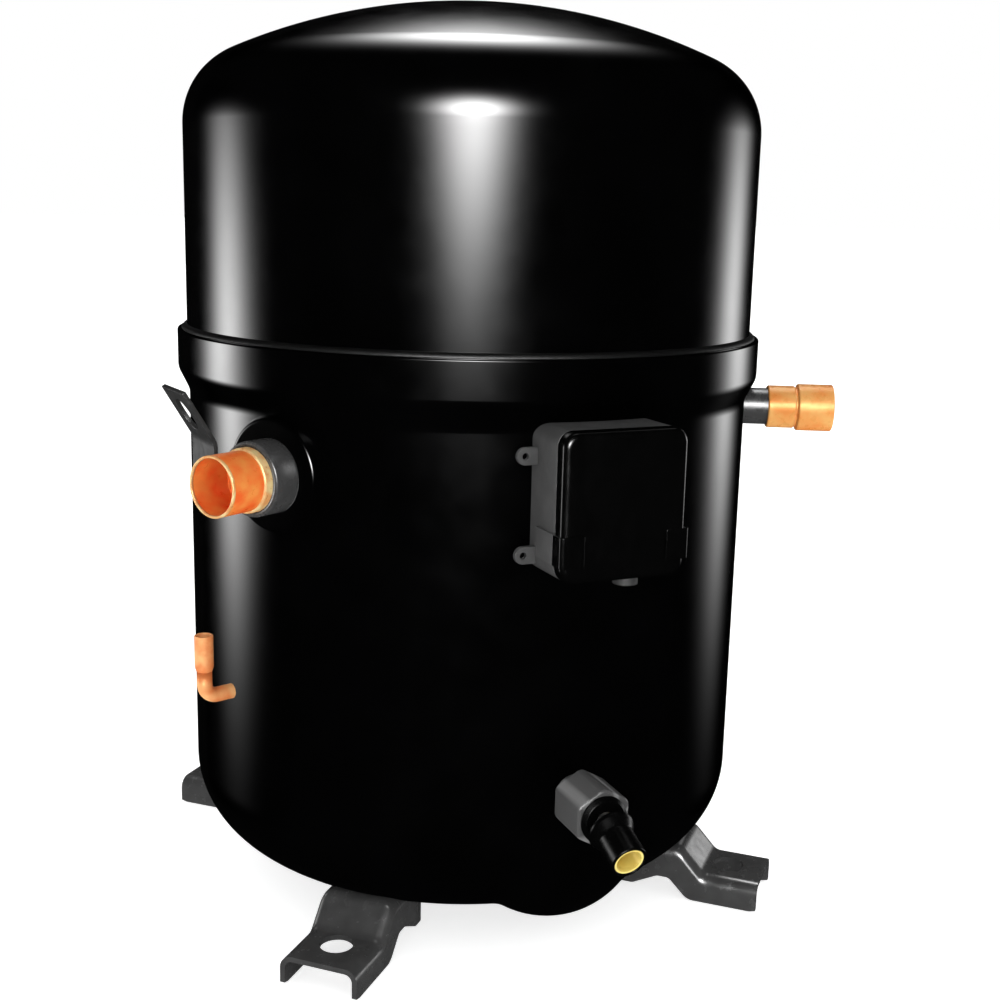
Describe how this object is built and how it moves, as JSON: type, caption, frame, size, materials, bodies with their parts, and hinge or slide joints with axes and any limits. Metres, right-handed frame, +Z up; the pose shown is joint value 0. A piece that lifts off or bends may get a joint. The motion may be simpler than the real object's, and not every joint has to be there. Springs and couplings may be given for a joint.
{
  "type": "hermetic scroll compressor",
  "caption": "Hermetic scroll compressor in a domed black welded shell on joggled channel feet, with copper suction and discharge stubs, process tube, terminal box and sump fitting.",
  "frame": {"origin": "centre of the square of four mounting holes, on the shell's axis, in the plane of the underside of the foot plates", "axes": "+Z up along the shell's axis; -Y towards the terminal box; the mounting holes are square to X and Y"},
  "size_m": [0.2987, 0.3105, 0.3962],
  "materials": {
    "black_paint": "gloss",
    "steel": "satin",
    "copper": "satin",
    "black_plastic": "matte",
    "gloss_black": "gloss",
    "spring_steel": "satin",
    "rubber": "matte",
    "brass": "satin",
    "glass_bead": "gloss",
    "grey_iron": "machined",
    "shaft_steel": "ground",
    "bearing_bronze": "machined",
    "aluminium": "cast",
    "lamination": "stamped",
    "winding": "varnished",
    "lead_sleeve": "matte"
  },
  "bodies": {
    "shell": {"lower_shell": "black_paint", "upper_shell": "black_paint", "girth_weld": "black_paint", "foot_front_left": "black_paint", "foot_front_right": "black_paint", "foot_rear_left": "black_paint", "foot_rear_right": "black_paint", "lifting_lug": "black_paint", "suction_collar": "steel", "discharge_stub": "steel", "oil_fitting": "steel", "terminal_cup": "steel", "scroll_screws": "steel", "stator_bolts": "steel", "muffler_screws": "steel", "discharge_pipe": "steel", "valve_stop": "steel", "muffler_cap": "steel", "suction_tube": "copper", "discharge_tube": "copper", "process_tube": "copper", "terminal_box": "black_plastic", "oil_outlet": "gloss_black", "cable_grommet": "rubber", "outlet_sleeve": "brass", "terminal_pins": "brass", "terminal_glass": "glass_bead", "main_frame": "grey_iron", "fixed_scroll": "grey_iron", "lower_bracket": "grey_iron", "main_bearing": "bearing_bronze", "lower_bearing": "bearing_bronze", "thrust_washer": "bearing_bronze", "stator_core": "lamination", "stator_winding": "winding", "motor_leads": "lead_sleeve"},
    "crank": {"crankshaft": "shaft_steel", "drive_bush": "shaft_steel", "oil_pickup": "steel", "rotor_core": "lamination", "rotor_cage": "aluminium", "upper_counterweight": "bearing_bronze", "lower_counterweight": "bearing_bronze"},
    "orbiter": {"orbiting_scroll": "grey_iron", "hub_bearing": "bearing_bronze"},
    "oldham": {"oldham_ring": "aluminium"},
    "valve": {"discharge_valve": "steel"},
    "cover": {"terminal_cover": "gloss_black", "cover_clips": "spring_steel"}
  },
  "joints": [
    {"name": "crank_spin", "type": "hinge", "parent": "shell", "child": "crank", "pos_m": [0, 0, 0.14], "axis": [0, 0, 1], "continuous": true},
    {"name": "scroll_orbit", "type": "hinge", "parent": "crank", "child": "orbiter", "pos_m": [0.00535, 0, 0.248], "axis": [0, 0, 1], "continuous": true},
    {"name": "oldham_slide", "type": "slide", "parent": "shell", "child": "oldham", "axis": [1, 0, 0], "range_m": [-0.00535, 0.00535]},
    {"name": "valve_lift", "type": "slide", "parent": "shell", "child": "valve", "axis": [0, 0, 1], "range_m": [0, 0.0025]},
    {"name": "cover_off", "type": "slide", "parent": "shell", "child": "cover", "axis": [0, -1, 0], "range_m": [0, 0.03]}
  ],
  "couplings": [
    {"joint": "scroll_orbit", "follows": "crank_spin", "ratio": -1}
  ]
}
